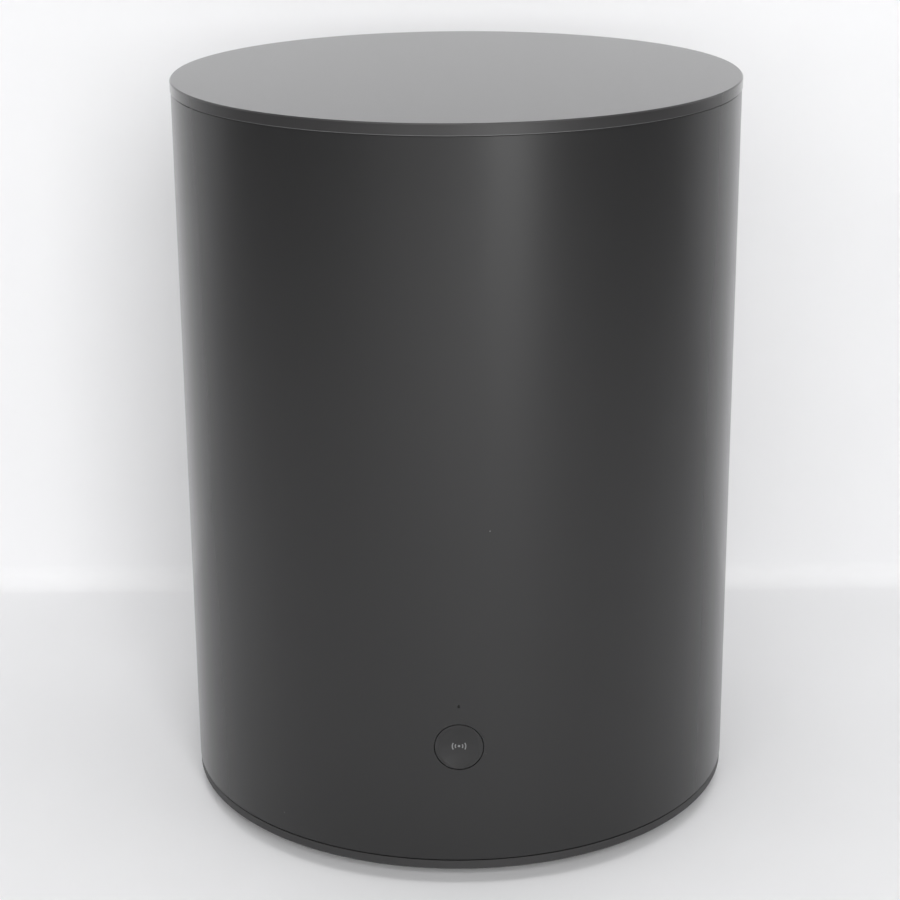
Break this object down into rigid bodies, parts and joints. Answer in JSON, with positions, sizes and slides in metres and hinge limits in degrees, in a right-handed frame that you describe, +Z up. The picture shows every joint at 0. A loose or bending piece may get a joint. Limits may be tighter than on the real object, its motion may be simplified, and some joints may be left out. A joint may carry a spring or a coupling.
{
  "type": "subwoofer",
  "caption": "Compact cylindrical sealed subwoofer with a tall open slot between two facing woofers, a dished pairing button with a pinhole light, and sockets in a well underneath.",
  "frame": {"origin": "middle of the footprint, on the surface the subwoofer stands on", "axes": "+Z up along the cylinder's axis; -Y is the control side with the button and light, +Y the slot side; +X is to the right when the button is faced"},
  "size_m": [0.23, 0.23, 0.305],
  "materials": {
    "shell_black": "matte black moulded wall, very fine grain, slight sheen",
    "cap_black": "matte black top cap with a crisp rounded edge",
    "base_black": "matte black base cover",
    "button_black": "satin black dished button",
    "tunnel_black": "matte black tunnel lining",
    "inner_plastic": "plain moulded structural plastic",
    "rubber_black": "soft black rubber",
    "foam_black": "closed-cell foam gasket",
    "cone_black": "stiff black woofer cone",
    "dust_cap_black": "satin black dust cap",
    "basket_metal": "black stamped steel basket",
    "plate_steel": "zinc plated magnet steel",
    "ferrite": "dark ferrite ceramic",
    "coil_copper": "enamelled copper winding on a film former",
    "spider_cloth": "resin-stiffened woven cloth",
    "screw_steel": "plated screws",
    "board_green": "glass-epoxy circuit board",
    "board_tan": "paper-phenolic power board",
    "socket_black": "moulded socket body",
    "contact_brass": "plated contacts",
    "pin_nickel": "nickel plated pins",
    "heatsink_aluminium": "extruded aluminium",
    "shield_tin": "tinned shielding can",
    "transformer_core": "taped ferrite transformer",
    "capacitor_sleeve": "shrink sleeve",
    "lead_black": "sheathed lead",
    "lead_white": "sheathed two-core mains lead",
    "lens_clear": "clear light pipe",
    "lamp_white": "small white lamp",
    "strip_tan": "terminal strip with tags",
    "plunger_white": "switch plunger"
  },
  "bodies": {
    "cabinet": {"cabinet_shell": "shell_black", "wall_ledges": "inner_plastic", "top_cap": "cap_black", "top_plate": "inner_plastic", "lid_gaskets": "foam_black", "wifi_antennas": "contact_brass", "base_cover": "base_black", "base_gasket": "foam_black", "base_screws": "screw_steel", "foot_ring": "rubber_black", "chamber_floor": "inner_plastic", "chamber_screws": "screw_steel", "cable_grommets": "rubber_black", "tunnel_liner": "tunnel_black", "tunnel_posts": "inner_plastic", "tunnel_gasket": "foam_black", "woofer_baffles": "inner_plastic", "left_basket": "basket_metal", "right_basket": "basket_metal", "left_surround": "rubber_black", "right_surround": "rubber_black", "left_spider": "spider_cloth", "right_spider": "spider_cloth", "pole_plates": "plate_steel", "magnets": "ferrite", "yokes": "plate_steel", "woofer_gaskets": "foam_black", "woofer_terminals": "strip_tan", "woofer_screws": "screw_steel", "woofer_leads": "lead_black", "button_seal": "rubber_black", "button_housing": "inner_plastic", "tact_switch": "socket_black", "light_pipe": "lens_clear", "status_led": "lamp_white", "control_board": "board_green", "control_screws": "screw_steel", "socket_housing": "base_black", "mains_inlet": "socket_black", "inlet_pins": "pin_nickel", "network_socket": "socket_black", "network_contacts": "contact_brass", "power_board": "board_tan", "amplifier_board": "board_green", "logic_board": "board_green", "power_transformer": "transformer_core", "board_capacitors": "capacitor_sleeve", "amplifier_heatsink": "heatsink_aluminium", "logic_shield": "shield_tin", "mains_lead": "lead_white", "control_lead": "lead_black", "board_screws": "screw_steel"},
    "left_cone_body": {"left_cone": "cone_black", "left_dust_cap": "dust_cap_black", "left_voice_coil": "coil_copper"},
    "right_cone_body": {"right_cone": "cone_black", "right_dust_cap": "dust_cap_black", "right_voice_coil": "coil_copper"},
    "button": {"button_cap": "button_black"},
    "plunger": {"switch_plunger": "plunger_white"}
  },
  "joints": [
    {"name": "left_cone_stroke", "type": "slide", "parent": "cabinet", "child": "left_cone_body", "axis": [1, 0, 0], "range_m": [-0.006, 0.006], "stiffness_N_per_m": 1500, "deforming": ["left_surround", "left_spider"]},
    {"name": "right_cone_stroke", "type": "slide", "parent": "cabinet", "child": "right_cone_body", "axis": [-1, 0, 0], "range_m": [-0.006, 0.006], "stiffness_N_per_m": 1500, "deforming": ["right_surround", "right_spider"]},
    {"name": "button_press", "type": "slide", "parent": "cabinet", "child": "button", "axis": [0, 1, 0], "range_m": [0, 0.0008], "stiffness_N_per_m": 1500, "springref_m": -0.0004, "deforming": ["button_seal"]},
    {"name": "plunger_press", "type": "slide", "parent": "cabinet", "child": "plunger", "axis": [0, 1, 0], "range_m": [0, 0.0008]}
  ],
  "couplings": [
    {"joint": "right_cone_stroke", "follows": "left_cone_stroke", "ratio": 1},
    {"joint": "plunger_press", "follows": "button_press", "ratio": 1}
  ]
}
